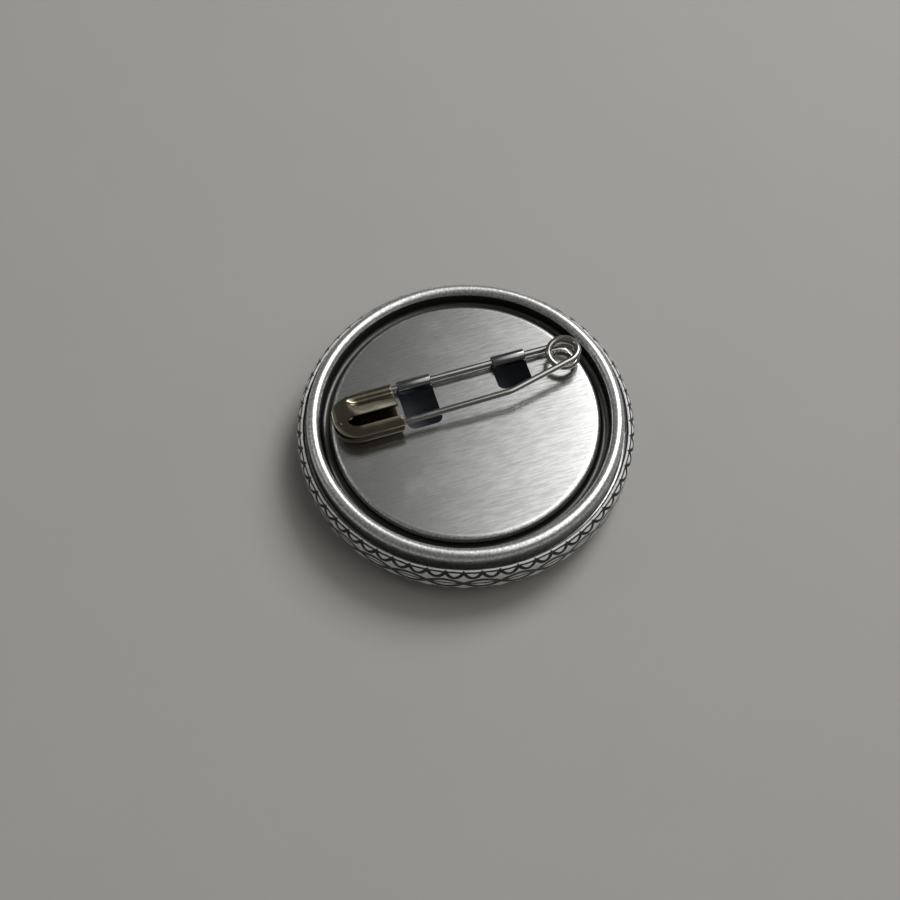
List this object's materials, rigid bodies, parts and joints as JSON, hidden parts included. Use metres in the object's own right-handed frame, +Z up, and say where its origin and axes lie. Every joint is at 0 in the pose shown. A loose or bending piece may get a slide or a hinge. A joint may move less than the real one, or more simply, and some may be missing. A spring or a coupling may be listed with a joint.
{
  "type": "button badge",
  "caption": "Round pin-back button badge: printed paper under clear film on a pressed shell, closed by a beaded back plate whose claws hold a safety pin that swings up and opens.",
  "frame": {"origin": "middle of the badge's front face, which lies on the ground with the back of the badge up", "axes": "+Z up through the back plate, +X along the safety pin from its cap towards its coil, +Y from the pin's arm towards its held leg"},
  "size_m": [0.032, 0.032, 0.0082],
  "materials": {
    "shell_steel": "plain pressed tinplate",
    "printed_paper": "white print with black line pattern",
    "film": "clear gloss film",
    "tinplate": "brushed tinplate, satin on the bead",
    "pin_wire": "nickel plated",
    "cap_nickel": "nickel plated, warm tinted"
  },
  "bodies": {
    "badge": {"front_shell": "shell_steel", "artwork_disc": "printed_paper", "clear_film": "film", "back_plate": "tinplate"},
    "pin": {"pin_leg": "pin_wire", "pin_coil": "pin_wire", "pin_cap": "cap_nickel"},
    "arm": {"pin_arm": "pin_wire"}
  },
  "joints": [
    {"name": "pin_swing", "type": "hinge", "parent": "badge", "child": "pin", "pos_m": [0, 0.00445, 0.00625], "axis": [-1, 0, 0], "range_deg": [0, 75]},
    {"name": "arm_open", "type": "hinge", "parent": "pin", "child": "arm", "pos_m": [0.01006, 0.00152, 0.00762], "axis": [0, 0.8192, -0.5736], "range_deg": [0, 35]}
  ]
}
